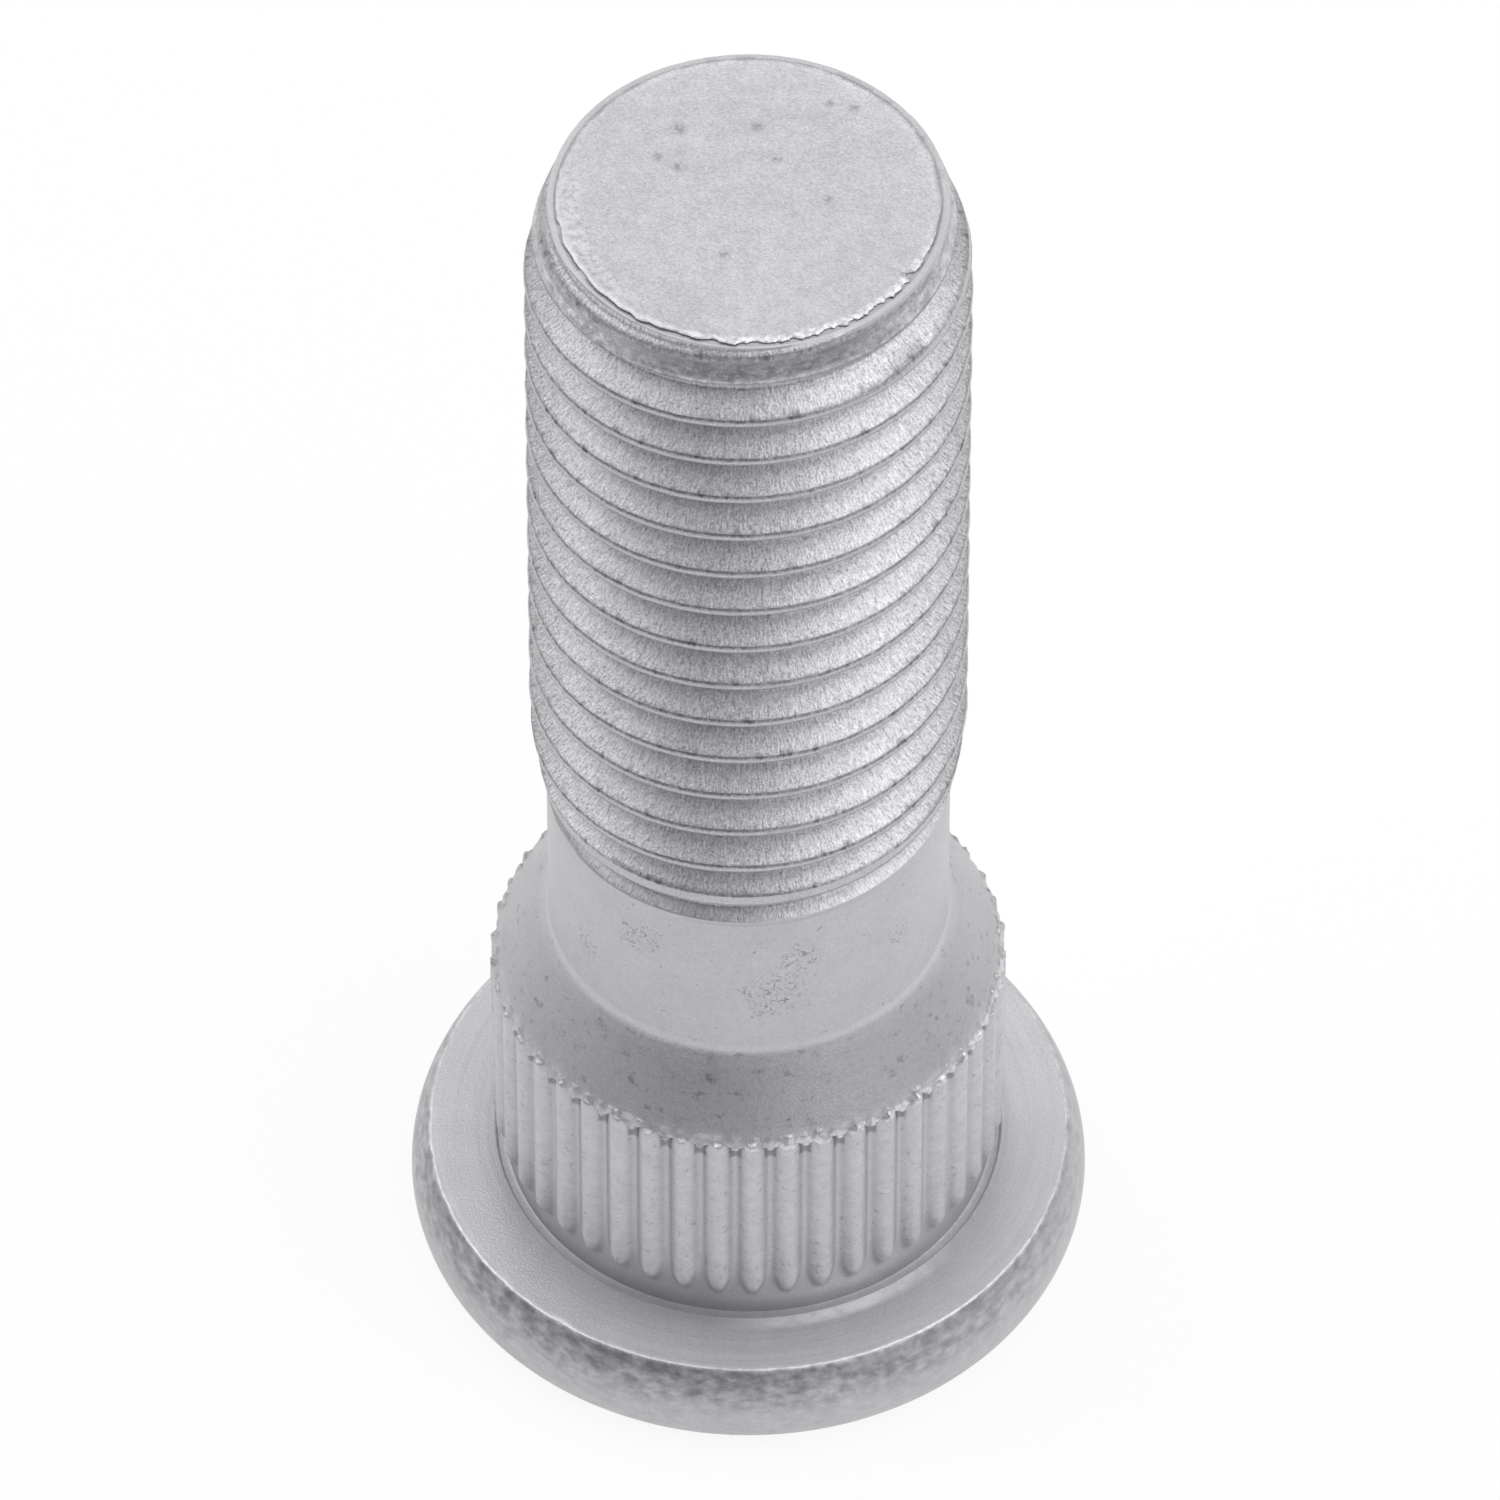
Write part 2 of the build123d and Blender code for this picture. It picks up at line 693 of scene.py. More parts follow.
@dataclass
class CutEnd:
    """Cut end of the stud: a flat face with a crumbled burr over the thread's last turn."""

    sizes: StudSizes
    columns: int
    ledge_z: float
    ledge_r: float = 4.97
    burr_r: float = 5.06
    face_drop: float = 0.025
    busy_angle: float = 26.0
    busy_width: float = 62.0
    bead_depth: float = 0.42
    wave_depth: float = 0.14
    lump_angle: float = -34.0
    lump_width: float = 4.0
    notch_angle: float = 58.0
    notch_width: float = 2.4

    def profile(self) -> list[Point]:
        """Draws the half section from the ledge over the burr to the centre of the face.

        Returns:
            Radius and height of its points.
        """
        top = self.sizes.top_z
        rise = top - self.ledge_z
        return [
            (self.ledge_r, self.ledge_z + 0.05 * rise),
            (self.ledge_r - 0.015, self.ledge_z + 0.2 * rise),
            (self.burr_r - 0.02, self.ledge_z + 0.4 * rise),
            (self.burr_r, self.ledge_z + 0.62 * rise),
            (self.burr_r - 0.03, self.ledge_z + 0.86 * rise),
            (self.burr_r - 0.1, top),
            (self.burr_r - 0.19, top - 0.5 * self.face_drop),
            (self.burr_r - 0.32, top - self.face_drop),
            (0.66 * self.burr_r, top - self.face_drop),
            (0.3 * self.burr_r, top - self.face_drop),
            (0.0, top - self.face_drop),
        ]

    def build(self) -> Piece:
        """Spins the end and crumbles its edge.

        Returns:
            The end, open at the ledge.
        """
        piece = lathe("stud_end", self.profile(), self.columns)
        self.crumble(piece)
        return piece

    def crumble(self, piece: Piece) -> None:
        """Breaks the burr into beads, most of them from the front to the right.

        Args:
            piece: The end.
        """
        low = self.ledge_z + 0.3 * (self.sizes.top_z - self.ledge_z)
        for vertex in piece.data.vertices:
            place = vertex.co
            radius = math.hypot(place.x, place.y)
            share = ramp(radius, self.burr_r - 0.3, self.burr_r - 0.08) * ramp(place.z, low - 0.03, low + 0.02)
            if not share:
                continue
            busy = 0.12 + 0.88 * spot(place, self.busy_angle, self.busy_width)
            beads = 0.65 * unevenness(place, 0.055, 1.0) + 0.35 * unevenness(place, 0.02, 5.0)
            waves = unevenness(place, 0.12, 6.0)
            lump = spot(place, self.lump_angle, self.lump_width)
            notch = spot(place, self.notch_angle, self.notch_width)
            outward = busy * self.bead_depth * (beads - 0.5) + self.wave_depth * (waves - 0.5)
            outward += 0.1 * lump - 0.16 * notch
            down = 0.06 * busy * (1.0 - beads) + 0.05 * notch
            vertex.co = moved(place, radius + share * outward, place.z - share * down)


@dataclass
class WheelStud:
    """The whole stud: its sections joined into one closed mesh."""

    sizes: StudSizes
    smooth_columns: int = 270
    smooth_angle: float = 40.0
    cone_step: Point = (0.035, 0.055)
    slack: float = 0.02

    def build(self) -> Piece:
        """Makes the sections, joins them, and closes the rings between them.

        Returns:
            The finished stud.
        """
        head = Head(self.sizes, columns=self.smooth_columns)
        collar = KnurledCollar(self.sizes, neck_r=head.neck_r, low_z=head.neck_z)
        foot_r, foot_z = collar.cone_foot
        cone_low = (foot_r - self.cone_step[0], foot_z + self.cone_step[1])
        shank = Shank(columns=self.smooth_columns, low=cone_low)
        thread = RolledThread(self.sizes, shank_r=shank.shank_r, low_z=shank.thread_low_z)
        end = CutEnd(self.sizes, columns=2 * self.smooth_columns, ledge_z=thread.taper_high[1])
        sections = [head.build(), collar.build(), shank.build(), thread.build(), end.build()]
        for section in sections:
            LOG.info("%s has %d faces", section.name, len(section.data.polygons))
        stud = join(sections)
        stud.name = stud.data.name = "wheel_stud_dressed"
        gaps = [
            (head.neck_z - self.slack, head.neck_z + self.slack),
            (foot_z - 0.05, shank.low[1] + self.slack),
            (shank.thread_low_z - shank.edge_clearance - self.slack, shank.thread_low_z + self.slack),
            (end.ledge_z - self.slack, self.sizes.top_z),
        ]
        with editing(stud):
            for low, high in gaps:
                select_rim(stud, low, high)
                bpy.ops.mesh.bridge_edge_loops()
            bpy.ops.mesh.select_all(action="SELECT")
            bpy.ops.mesh.normals_make_consistent(inside=False)
        stud.scale = (MM, MM, MM)
        bpy.ops.object.transform_apply(location=False, rotation=False, scale=True)
        bpy.ops.object.shade_smooth_by_angle(angle=math.radians(self.smooth_angle))
        stud.data.materials.clear()
        stud.data.materials.append(CoatedSteel().build(thread, collar))
        return stud


class Signal:
    """A number or vector in a shader, which plain maths works on."""

    def __init__(self, graph: ShaderGraph, socket: bpy.types.NodeSocket) -> None:
        """Wraps an output socket of a graph's node."""
        self.graph = graph
        self.socket = socket

    def math(self, operation: str, *others: Number) -> Signal:
        """Adds a Math node with this value first and the others after it."""
        return self.graph.node("ShaderNodeMath", {"operation": operation}, dict(enumerate((self, *others))))

    def __add__(self, other: Number) -> Signal:
        """Adds."""
        return self.math("ADD", other)

    def __sub__(self, other: Number) -> Signal:
        """Subtracts."""
        return self.math("SUBTRACT", other)

    def __rsub__(self, other: Number) -> Signal:
        """Subtracts this from a number."""
        return self.graph.node("ShaderNodeMath", {"operation": "SUBTRACT"}, {0: other, 1: self})

    def __mul__(self, other: Number) -> Signal:
        """Multiplies."""
        return self.math("MULTIPLY", other)

    def __truediv__(self, other: Number) -> Signal:
        """Divides."""
        return self.math("DIVIDE", other)

    def __abs__(self) -> Signal:
        """Drops the sign."""
        return self.math("ABSOLUTE")

    __radd__ = __add__
    __rmul__ = __mul__

    def step(self, low: float, high: float) -> Signal:
        """Eases from 0 at low to 1 at high, which may lie below low."""
        inputs = {"Value": self, "From Min": low, "From Max": high}
        return self.graph.node("ShaderNodeMapRange", {"interpolation_type": "SMOOTHSTEP"}, inputs)

    def slope(self, low: float, high: float) -> Signal:
        """Rises evenly from 0 at low to 1 at high."""
        return self.graph.node("ShaderNodeMapRange", {}, {"Value": self, "From Min": low, "From Max": high})

    def band(self, low: float, high: float, soft: float) -> Signal:
        """Is 1 between two values and eases to 0 over a soft width outside them."""
        return self.step(low - soft, low) * self.step(high + soft, high)


Number = Signal | float


class ShaderGraph:
    """Node tree that is written as expressions."""

    def __init__(self, tree: bpy.types.NodeTree) -> None:
        """Opens a tree to add nodes to."""
        self.tree = tree

    def node(
        self, kind: str, settings: dict[str, Any], inputs: dict[str | int, Any], output: str | int = 0
    ) -> Signal:
        """Adds one node.

        Args:
            kind: The node's type.
            settings: Properties of the node, which are set first.
            inputs: Values or signals by the name or number of their sockets.
            output: Name or number of the wanted output.

        Returns:
            The output.
        """
        node = self.tree.nodes.new(kind)
        for name, value in settings.items():
            setattr(node, name, value)
        for name, value in inputs.items():
            self.feed(node.inputs[name], value)
        return Signal(self, node.outputs[output])

    def feed(self, socket: bpy.types.NodeSocket, value: Any) -> None:
        """Links a signal to a socket, or sets a plain value on it.

        Args:
            socket: The input socket.
            value: A signal or a value of the socket's kind.
        """
        if isinstance(value, Signal):
            self.tree.links.new(value.socket, socket)
        else:
            socket.default_value = value

    def vector(self, x: Number, y: Number, z: Number) -> Signal:
        """Puts three numbers together as a vector."""
        return self.node("ShaderNodeCombineXYZ", {}, {0: x, 1: y, 2: z})

    def vector_math(self, operation: str, *vectors: Any, output: str | int = 0) -> Signal:
        """Adds a Vector Math node with these vectors."""
        return self.node("ShaderNodeVectorMath", {"operation": operation}, dict(enumerate(vectors)), output)

    def stretch(self, vector: Signal, factors: tuple[float, float, float]) -> Signal:
        """Scales a vector along each axis."""
        return self.vector_math("MULTIPLY", vector, factors)

    def cloud(self, vector: Signal, size: float, detail: float = 2.0, warp: float = 0.0) -> Signal:
        """Reads soft noise.

        Args:
            vector: Where to read it.
            size: Size of its lumps, in the vector's unit.
            detail: How many finer layers it has.
            warp: How far it is bent by itself.

        Returns:
            A number from 0 to 1, mostly near one half.
        """
        inputs = {
            "Vector": vector,
            "Scale": 1.0 / size,
            "Detail": detail,
            "Roughness": 0.55,
            "Distortion": warp,
        }
        return self.node("ShaderNodeTexNoise", {}, inputs)

    def blend(self, share: Number, low: Any, high: Any) -> Signal:
        """Mixes two colours: share 0 gives the first and 1 the second, and more goes on beyond it."""
        settings = {"data_type": "RGBA", "clamp_factor": False}
        return self.node("ShaderNodeMix", settings, {0: share, 6: low, 7: high}, output=2)


class Level(Enum):
    """Stretches of the stud with marks of their own: lowest and greatest height, and the fade at each end."""

    RIM = (2.45, 2.93, 1.1)
    SEAT_EDGE = (2.93, 3.2, 0.03)
    SEAT = (2.97, 3.2, 0.02)
    FEET = (3.0, 4.3, 0.7)
    RIDGES = (3.9, 10.2, 0.2)
    GAPS = (9.85, 10.2, 0.15)
    LIP = (10.3, 10.52, 0.06)
    CONE = (10.8, 12.6, 0.1)
    FILLET = (12.45, 12.7, 0.25)
    SHANK = (12.9, 17.75, 0.15)
    FLANKS = (18.0, 40.9, 0.05)
    CRESTS = (18.7, 40.85, 0.08)
    TAPER = (39.6, 40.85, 0.06)
    LEDGE = (40.9, 41.01, 0.02)


class Ring(Enum):
    """Rings of the stud with marks of their own: inner and outer radius, and the fade at each side."""

    STRIP = (4.5, 4.85, 0.1)
    LEDGE = (4.8, 5.12, 0.03)
    BURR = (4.9, 5.3, 0.08)
    NECK = (6.6, 6.96, 0.06)
    RELIEF = (6.7, 7.04, 0.02)
    # ring of the seat's painted highlight by the collar
    PATCH = (7.0, 7.3, 0.25)
    SEAT_INSIDE = (7.02, 7.1, 0.02)
    SEAT_EDGE = (8.84, 8.96, 0.02)


class Side(Enum):
    """Sides of the stud with a mark: its middle in degrees from the front towards +X, and its half width."""

    STRIP = (-70.0, 45.0)
    SCUFFS = (-35.0, 40.0)
    RIM = (-20.0, 110.0)
    SMUDGE = (2.0, 50.0)
    # side of the seat's painted highlight
    PATCH = (22.0, 30.0)
    CRUMBS = (26.0, 62.0)
    # side of the torn lip's painted highlight
    SHREDS = (48.0, 70.0)


class StudPlace:
    """Where a point of the surface lies on the stud, in millimetres, and how uneven the metal is there."""

    def __init__(self, graph: ShaderGraph, thread: RolledThread, collar: KnurledCollar) -> None:
        """Works out the point's height, radius, angle and place on the thread and on the ridges.

        Args:
            graph: The finish's graph.
            thread: The thread, whose helix is followed.
            collar: The collar, whose ridges are followed.
        """
        self.graph = graph
        metres = graph.node("ShaderNodeTexCoord", {}, {}, output="Object")
        self.place = graph.stretch(metres, (1.0 / MM, 1.0 / MM, 1.0 / MM))
        parts = graph.node("ShaderNodeSeparateXYZ", {}, {0: self.place}).socket.node.outputs
        x, y, self.height = (Signal(graph, part) for part in parts)
        flat = graph.stretch(self.place, (1.0, 1.0, 0.0))
        self.radius = graph.vector_math("LENGTH", flat, output="Value")
        self.around = graph.vector_math("NORMALIZE", flat)
        self.angle = x.math("ARCTAN2", y * -1.0)
        lead = (self.height - thread.front_crest_z) / thread.pitch - self.angle / math.tau
        turn = (lead + 0.5).math("FLOOR")
        self.over_crest = (lead - turn) * thread.pitch
        self.coil = turn + self.angle / math.tau
        self.ridge = ((self.angle - math.radians(collar.phase)) * collar.count).math("COSINE")
        self.grain = graph.cloud(self.place, 0.12, detail=2.0) - 0.5
        self.flakes = graph.cloud(self.place, 0.06, detail=0.0) - 0.5
        self.lumps = graph.cloud(self.place, 0.18, detail=2.0)
        self.blotch = graph.cloud(graph.stretch(self.place, (1.0, 1.0, 1.6)), 0.42, detail=4.0)
        cut_back = thread.sizes.thread_r - self.follow(thread.envelope())
        self.crest_half = cut_back * thread.flank_lean + 0.5 * thread.crest_flat

    def follow(self, line: list[Point]) -> Signal:
        """Reads a radius off a line of (height, radius) points.

        Args:
            line: The line, lowest point first.

        Returns:
            The radius at the point's height.
        """
        radius: Number = line[0][1]
        for (low_z, low_r), (high_z, high_r) in pairwise(line):
            if low_r != high_r:
                radius = radius + self.height.slope(low_z, high_z) * (high_r - low_r)
        return radius

    def ring(self, size: float, along: Number) -> Signal:
        """Noise whose lumps have one size round the axis and another across it.

        Args:
            size: Size of the lumps round the axis, as a share of the radius.
            along: The reading across, in lumps.

        Returns:
            A number from 0 to 1.
        """
        wheel = self.graph.stretch(self.around, (1.0 / size, 1.0 / size, 0.0))
        lift = self.graph.vector(0.0, 0.0, along)
        spread = self.graph.vector_math("ADD", wheel, lift)
        return self.graph.cloud(spread, 1.0, detail=1.0)

    def near(self, centre: tuple[float, float, float]) -> Signal:
        """Distance from a place on the stud."""
        return self.graph.vector_math("DISTANCE", self.place, centre, output="Value")

    def level(self, level: Level) -> Signal:
        """Is 1 on one stretch of the stud's height."""
        return self.height.band(*level.value)

    def within(self, ring: Ring) -> Signal:
        """Is 1 in one ring round the axis."""
        return self.radius.band(*ring.value)

    def facing(self, side: Side) -> Signal:
        """Marks the side that faces one way.

        Args:
            side: The side.

        Returns:
            1 in its middle, easing to 0 at its ends.
        """
        turn, width = (math.radians(angle) for angle in side.value)
        middle = (math.sin(turn), -math.cos(turn), 0.0)
        lean = self.graph.vector_math("DOT_PRODUCT", self.around, middle, output="Value")
        return lean.step(math.cos(width), 1.0)


@dataclass(frozen=True)
class Marks:
    """What one zone of the stud adds to its coat.

    light is added to the coat's tone, dark is the share of the tone that is lost, and relief is in millimetres.
    """

    light: Signal | None = None
    dark: Signal | None = None
    relief: Signal | None = None


class StudMarks(StudPlace):
    """Marks that each zone of the stud has on its coat, with painted highlights and painted shade among them.

    A pit has its place on the cut face and its size, and a cluster of marks its angle, height and size.
    """

    face_z: float = 41.08
    shank_r: float = 5.5
    pits: tuple[tuple[float, float, float], ...] = (
        (-1.85, 2.5, 0.2),
        (0.25, 2.6, 0.17),
        (-2.4, 1.5, 0.14),
        (-1.8, 1.15, 0.18),
        (0.75, 1.4, 0.14),
        (2.15, 3.4, 0.12),
        (2.8, 3.25, 0.16),
        (-0.65, -1.95, 0.13),
        (2.1, 0.0, 0.12),
    )
    clusters: tuple[tuple[float, float, float], ...] = (
        (-33.0, 16.3, 1.0),
        (15.0, 16.4, 0.9),
        (8.0, 15.1, 1.4),
        (-52.0, 14.6, 0.8),
        (48.0, 15.6, 0.6),
        (130.0, 15.0, 1.3),
        (215.0, 16.2, 1.1),
    )

    def flanks(self) -> Marks:
        """Grains the thread's flanks, with the short pleats that the rolling dies leave.

        Returns:
            The flanks' marks.
        """
        zone = self.level(Level.FLANKS) * (abs(self.over_crest) - self.crest_half).step(-0.03, 0.04)
        pleats = (self.ring(0.01, self.radius * 6.0 + self.coil * 7.3) - 0.5) * zone
        return Marks(light=pleats * 1.1 + (self.flakes * 0.3 + 0.06) * zone, relief=pleats * 0.008)

    def crest(self) -> Marks:
        """Draws a ragged dark seam along the crest's upper edge, and a painted shadow line along its lower one.

        Returns:
            The crest's marks.
        """
        zone = self.level(Level.CRESTS)
        upper = self.over_crest - self.crest_half
        lower = self.over_crest + self.crest_half
        torn = self.ring(0.022, self.coil * 3.7)
        wander = upper + (torn - 0.5) * 0.16
        seam = wander.band(-0.05, 0.01, 0.04) * (torn.step(0.3, 0.62) * 0.7 + 0.3)
        blobs = wander.band(-0.06, 0.05, 0.05) * self.ring(0.055, self.coil * 9.1).step(0.56, 0.72)
        # painted shade: a dark line along the crest's lower edge, all round, standing in for the shadow under
        # the crest
        under = lower.band(-0.03, 0.07, 0.02)
        return Marks(
            light=self.flakes * zone * 0.3,
            dark=(seam * 0.36 + blobs * 0.36 + under * 0.36) * zone,
        )

    def tapered_end(self) -> Marks:
        """Scuffs and smudges the band where the taper cuts the last crest.

        Returns:
            The band's marks.
        """
        across = self.over_crest / self.crest_half
        zone = self.level(Level.TAPER)
        rough = self.blotch.step(0.3, 0.7) * 0.6 + self.lumps.step(0.35, 0.65) * 0.4 - 0.5
        scuffs = rough * (self.facing(Side.SCUFFS) * 0.3 + 0.6) * across.band(-0.8, 0.8, 0.2)
        grime = self.lumps.step(0.4, 0.6) * across.band(0.35, 0.75, 0.2) * 0.4
        smudge = self.blotch.step(0.3, 0.62) * self.facing(Side.SMUDGE) * across.band(-0.2, 0.6, 0.35)
        return Marks(light=zone * scuffs, dark=zone * (smudge * 0.7 + grime * (1.0 - smudge)))

    def cut_face(self) -> Marks:
        """Marks the cut face: pits, a rubbed strip inside its edge, the burr's bright crumbs and painted shade
        on the ledge under it.

        Returns:
            The face's marks.
        """
        face = self.height.step(41.0, 41.04)
        holes = (
            self.near((x, y, self.face_z)).step(1.7 * size, 0.3 * size) for x, y, size in self.pits
        )
        pits = reduce(add, holes) * self.grain.step(-0.12, 0.06) * face
        crumbs = self.within(Ring.BURR) * face * self.lumps.step(0.35, 0.65)
        crumbs = crumbs * (self.facing(Side.CRUMBS) * 0.7 + 0.3)
        rubbed = self.lumps.step(0.35, 0.6) - 0.3
        strip = self.within(Ring.STRIP) * self.facing(Side.STRIP) * rubbed * face
        # painted shade: the ledge under the burr's overhang is darkened
        ledge = self.within(Ring.LEDGE) * self.level(Level.LEDGE)
        uneven = self.grain * 0.1 + self.flakes * 0.15 + (self.blotch - 0.5) * 0.3
        return Marks(
            light=crumbs * 0.42 + strip * 0.25 + uneven * face,
            dark=pits * 0.42 + ledge * 0.25,
        )

    def shank(self) -> Marks:
        """Scatters worm-like marks in clusters on the plain shank and a few cracks in the cone's coat, paints a
        highlight line on the fillet and paints the cone a little darker as shade.

        Returns:
            The shank's marks.
        """
        clusters = []
        for degrees, height, size in self.clusters:
            turn = math.radians(degrees)
            centre = (self.shank_r * math.sin(turn), -self.shank_r * math.cos(turn), height)
            clusters.append(self.near(centre).step(size, 0.4 * size))
        crowded = self.blotch * 0.6 + self.lumps * 0.4 + reduce(add, clusters) * 0.15
        plain, cone = self.level(Level.SHANK), self.level(Level.CONE)
        bend = self.graph.cloud(self.place, 0.34, detail=1.0, warp=1.5)
        line = abs(bend - 0.5).step(0.045, 0.012)
        worms = line * crowded.step(0.56, 0.68) * plain
        cracks = self.blotch.step(0.58, 0.7) * (line * 0.5 + 0.5) * cone
        return Marks(
            # painted highlight: a light line on the cone-to-shank fillet, for its reflection of the bright
            # floor
            light=self.level(Level.FILLET) * 0.06 + (self.blotch - 0.5) * plain * 0.16,
            # painted shade: the whole cone a little darker, for how its upward slope catches less light
            dark=worms * 0.5 + cracks * 0.45 + cone * 0.05,
        )

    def collar(self) -> Marks:
        """Blotches and specks the ridges, paints shade in the grooves between them, at their feet, in the neck
        and under the lip, and paints a highlight on the torn lip's right side.

        Returns:
            The collar's marks.
        """
        # painted shade: the groove floors by the ridges' feet, the neck and the relief groove in the seat are
        # darkened where they lie in shade
        feet = self.radius.step(7.08, 6.9) * self.level(Level.FEET)
        neck = self.within(Ring.NECK) * self.height.step(3.7, 3.2)
        groove = self.within(Ring.RELIEF) * self.height.step(3.0, 2.96)
        # painted shadow: dark gaps between the ridge heads, under the torn lip
        gaps = self.ridge.step(0.3, -0.5) * self.radius.step(6.97, 6.9) * self.level(Level.GAPS)
        ridges = self.radius.step(6.8, 6.9) * self.level(Level.RIDGES)
        specks = self.lumps.step(0.62, 0.72) * ridges
        # painted shade: the grooves between the ridges are darkened along their length, in uneven blotches
        groove_shade = self.radius.step(7.02, 6.86) * ridges * (self.blotch * 0.6 + 0.7)
        # painted highlight: the torn lip is lightened on its right side, where it catches the light
        shreds = self.level(Level.LIP) * self.radius.step(6.92, 6.98) * self.facing(Side.SHREDS)
        return Marks(
            light=((self.blotch - 0.5) * 0.32 + 0.03) * ridges + shreds * self.lumps.step(0.35, 0.6) * 0.45,
            dark=feet * 0.1 + neck * 0.05 + groove * 0.05 + gaps * 0.45 + specks * 0.25 + groove_shade * 0.13,
        )

    def seat(self) -> Marks:
        """Draws turning marks on the seat, a painted highlight by the collar and along the seat's inner edge,
        and the bright nicked edge.

        Returns:
            The seat's marks.
        """
        zone = self.level(Level.SEAT) * self.radius.step(6.95, 7.05)
        rings = self.ring(0.7, self.radius * 14.0) - 0.5
        # painted highlight: a bright patch on the seat by the collar, at the front right, for a reflection of
        # the light
        painted_glint = self.facing(Side.PATCH) * self.within(Ring.PATCH) * (self.blotch.step(0.3, 0.6) * 0.5 + 0.5)
        edge = self.within(Ring.SEAT_EDGE) * self.level(Level.SEAT_EDGE)
        worn = self.lumps.step(0.38, 0.6) * 0.8 + 0.2
        # painted highlight: a light line along the seat's inner edge
        inner = self.within(Ring.SEAT_INSIDE) * zone * self.lumps.step(0.3, 0.6)
        return Marks(light=zone * (rings * 0.2 + painted_glint * 0.55 + 0.04) + edge * worn * 0.25 + inner * 0.1)

    def rim(self) -> Marks:
        """Smudges the forged rim, most of all under the seat's edge at the front left.

        Returns:
            The rim's marks.
        """
        upper = (self.level(Level.RIM) * 0.75 + 0.25) * self.height.step(2.99, 2.93)
        zone = self.radius.step(8.75, 8.95) * upper
        side = self.facing(Side.RIM) * 0.6 + 0.4
        fine = self.ring(0.05, self.height * 4.5).step(0.3, 0.7)
        mottle = (fine * 0.5 + self.blotch.step(0.32, 0.68) * 0.5) * zone * side
        return Marks(dark=mottle * 0.62)

    def zones(self) -> list[Marks]:
        """Lists the marks of all zones."""
        upper = [self.flanks(), self.crest(), self.tapered_end(), self.cut_face()]
        return [*upper, self.shank(), self.collar(), self.seat(), self.rim()]


@dataclass(frozen=True)
class CoatedSteel:
    """Zinc-flake coat on forged and rolled steel: satin grey, grainy, with marks that differ by zone."""

    bright: Colour = (0.656, 0.65, 0.674, 1.0)
    dark: Colour = (0.035, 0.033, 0.044, 1.0)
    tone: float = 0.88
    roughness: float = 0.42
    metallic: float = 0.6

    def build(self, thread: RolledThread, collar: KnurledCollar) -> bpy.types.Material:
        """Writes the finish as a material.

        Args:
            thread: The thread, whose helix its marks follow.
            collar: The collar, whose ridges its marks follow.

        Returns:
            The material.
        """
        material = bpy.data.materials.new("coated_steel")
        material.use_nodes = True
        graph = ShaderGraph(material.node_tree)
        spot = StudMarks(graph, thread, collar)
        drift = graph.cloud(spot.place, 1.6, detail=1.0) - 0.5
        tone = self.tone + spot.grain * 0.22 + spot.flakes * 0.12 + drift * 0.12
        keep = 1.0
        relief = spot.flakes * 0.007
        for marks in spot.zones():
            if marks.light:
                tone = tone + marks.light
            if marks.dark:
                keep = (1.0 - marks.dark) * keep
            if marks.relief:
                relief = relief + marks.relief
        shader = material.node_tree.nodes["Principled BSDF"]
        graph.feed(shader.inputs["Base Color"], graph.blend(tone * keep, self.dark, self.bright))
        graph.feed(shader.inputs["Metallic"], self.metallic)
        graph.feed(shader.inputs["Roughness"], self.roughness + spot.grain * 0.2)
        bump = {"Height": relief, "Distance": MM, "Strength": 1.0}
        graph.feed(shader.inputs["Normal"], graph.node("ShaderNodeBump", {}, bump))
        return material


@dataclass(frozen=True)
class StudioFloor:
    """White floor that stays white to the eye and in reflections, with the stud's soft shadow on it."""

    glow: float = 0.9
    white: Colour = (0.92, 0.92, 0.92, 1.0)

    def build(self) -> bpy.types.Material:
        """Writes the floor's material.

        Returns:
            The material.
        """
        material = bpy.data.materials.new("studio_floor")
        material.use_nodes = True
        tree = material.node_tree
        tree.nodes.remove(tree.nodes["Principled BSDF"])
        graph = ShaderGraph(tree)
        rays = graph.node("ShaderNodeLightPath", {}, {}).socket.node.outputs
        seen = Signal(graph, rays["Is Camera Ray"])
        for kind in ("Is Glossy Ray", "Is Transmission Ray"):
            seen = seen.math("MAXIMUM", Signal(graph, rays[kind]))
        plain = graph.node("ShaderNodeBsdfDiffuse", {}, {"Color": self.white})
        bright = graph.node("ShaderNodeEmission", {}, {"Color": (1.0, 1.0, 1.0, 1.0), "Strength": 1.0})
        mixed = graph.node("ShaderNodeMixShader", {}, {0: seen * self.glow, 1: plain, 2: bright})
        graph.feed(tree.nodes["Material Output"].inputs["Surface"], mixed)
        return material


class Panel(Enum):
    """Soft white panels round the studio: degrees from the front towards +X, degrees up, and brightness."""

    BACK_LEFT = (-135.0, 50.0, 1.34)
    LEFT = (-90.0, 50.0, 1.08)
    FRONT_RIGHT = (45.0, 50.0, 1.42)
    RIGHT = (90.0, 50.0, 1.02)
    BACK_RIGHT = (135.0, 50.0, 0.77)
    BACK = (180.0, 12.0, 0.23)

    @property
    def direction(self) -> tuple[float, float, float]:
        """Direction from the stud to the panel's middle."""
        turn, lift, _ = (math.radians(number) for number in self.value)
        return (math.sin(turn) * math.cos(lift), -math.cos(turn) * math.cos(lift), math.sin(lift))


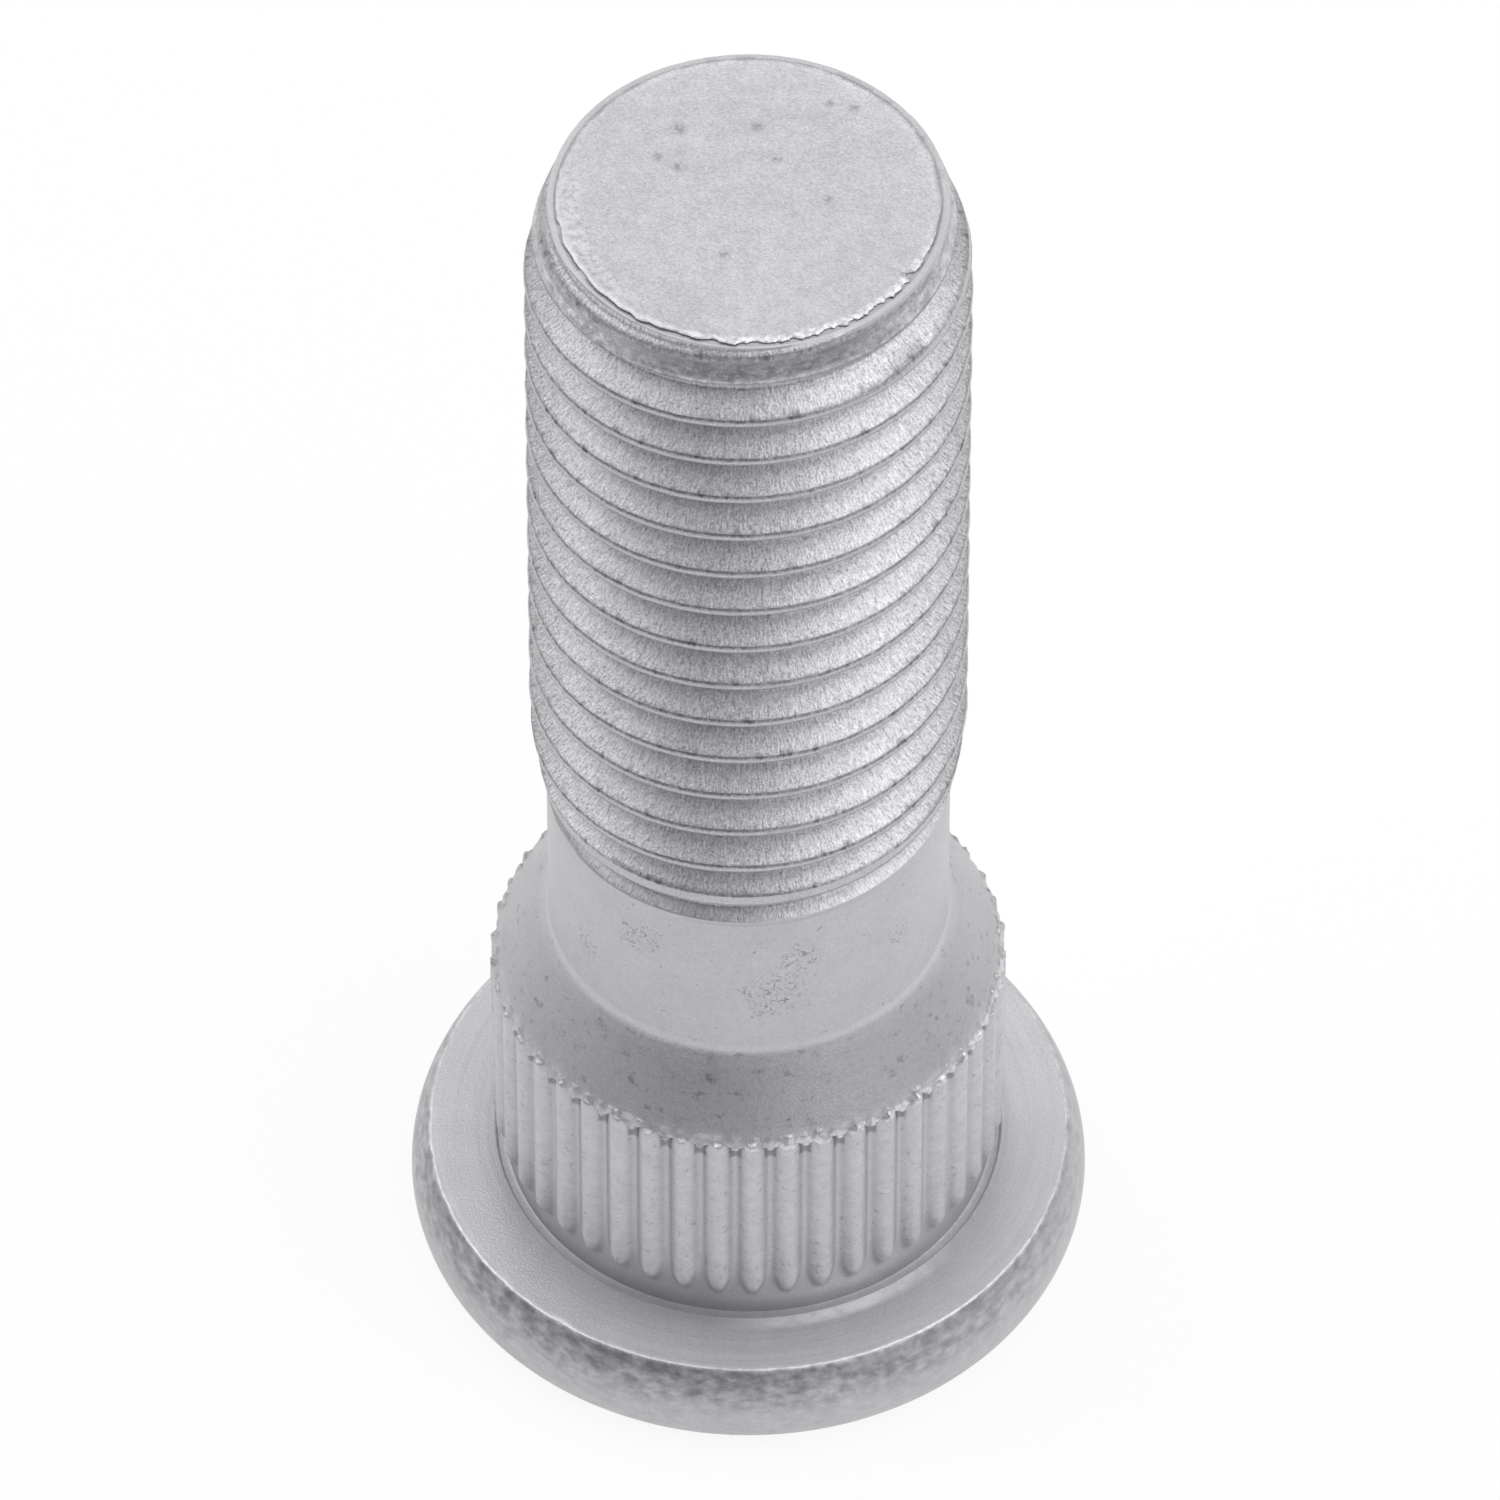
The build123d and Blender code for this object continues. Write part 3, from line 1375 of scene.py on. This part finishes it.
@dataclass
class Studio:
    """Camera, light and floor."""

    camera_elevation: float = 49.3
    camera_distance: float = 495.0
    aim_height: float = 19.07
    focal_px: float = 18200.0
    frame_px: float = 1500.0
    aim_px: Point = (748.4, 745.0)
    panel_spread: tuple[float, float] = (42.0, 8.0)

    def place_camera(self) -> None:
        """Puts the camera where the photo was taken from."""
        data = bpy.data.cameras.new("camera")
        camera = bpy.data.objects.new("camera", data)
        bpy.context.scene.collection.objects.link(camera)
        lean = math.radians(self.camera_elevation)
        camera.location = (
            0.0,
            -self.camera_distance * math.cos(lean) * MM,
            (self.aim_height + self.camera_distance * math.sin(lean)) * MM,
        )
        camera.rotation_euler = (math.radians(90.0) - lean, 0.0, 0.0)
        data.sensor_width = 36.0
        data.lens = self.focal_px / self.frame_px * data.sensor_width
        data.shift_x = 0.5 - self.aim_px[0] / self.frame_px
        data.shift_y = self.aim_px[1] / self.frame_px - 0.5
        data.clip_start, data.clip_end = 0.01, 20.0
        bpy.context.scene.camera = camera

    def paint_panels(self) -> None:
        """Paints the panels on the dark world, each fading out towards its edge."""
        world = bpy.data.worlds.new("studio")
        bpy.context.scene.world = world
        world.use_nodes = True
        graph = ShaderGraph(world.node_tree)
        towards = graph.node("ShaderNodeTexCoord", {}, {}, output="Generated")
        edge, middle = (math.cos(math.radians(angle)) for angle in self.panel_spread)
        light = 0.0
        for panel in Panel:
            lean = graph.vector_math("DOT_PRODUCT", towards, panel.direction, output="Value")
            light = lean.step(edge, middle) * panel.value[2] + light
        background = world.node_tree.nodes["Background"]
        graph.feed(background.inputs["Color"], (1.0, 1.0, 1.0, 1.0))
        graph.feed(background.inputs["Strength"], light)

    def build(self) -> None:
        """Sets up everything round the stud."""
        self.place_camera()
        self.paint_panels()
        bpy.ops.object.select_all(action="DESELECT")
        bpy.ops.mesh.primitive_plane_add(size=4.0)
        floor = bpy.context.object
        floor.name = "floor"
        floor.data.materials.append(StudioFloor().build())


def main() -> None:
    """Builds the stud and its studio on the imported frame."""
    logging.basicConfig(level=logging.INFO, format="%(name)s: %(message)s")
    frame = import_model()
    stud = WheelStud(StudSizes.from_frame(frame))
    piece = stud.build()
    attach(piece, "root")
    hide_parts("wheel_stud")
    LOG.info("%s has %d faces", piece.name, len(piece.data.polygons))
    Studio().build()
    bpy.context.scene.view_settings.view_transform = "Standard"


if __name__ == "__main__":
    main()
